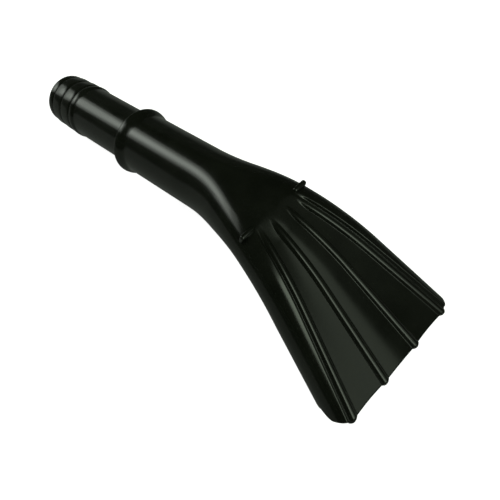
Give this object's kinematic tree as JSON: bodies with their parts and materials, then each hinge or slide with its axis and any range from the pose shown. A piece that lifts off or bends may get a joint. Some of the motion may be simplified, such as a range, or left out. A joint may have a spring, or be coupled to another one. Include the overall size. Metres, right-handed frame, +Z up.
{
  "type": "vacuum utility nozzle",
  "caption": "Bent hollow suction nozzle with a ringed hose cuff, a stop collar, a round tube and a wide flat mouth with raised ribs.",
  "frame": {"origin": "under the middle of the nozzle, on the surface it lies on", "axes": "+X across the mouth, +Y from the mouth to the cuff, +Z up from the surface it lies on"},
  "size_m": [0.1134, 0.3296, 0.0797],
  "materials": {
    "moulded_plastic": "near-black moulded plastic, satin with a fine grain and soft highlights"
  },
  "bodies": {
    "root": {"nozzle_body": "moulded_plastic"}
  },
  "joints": []
}
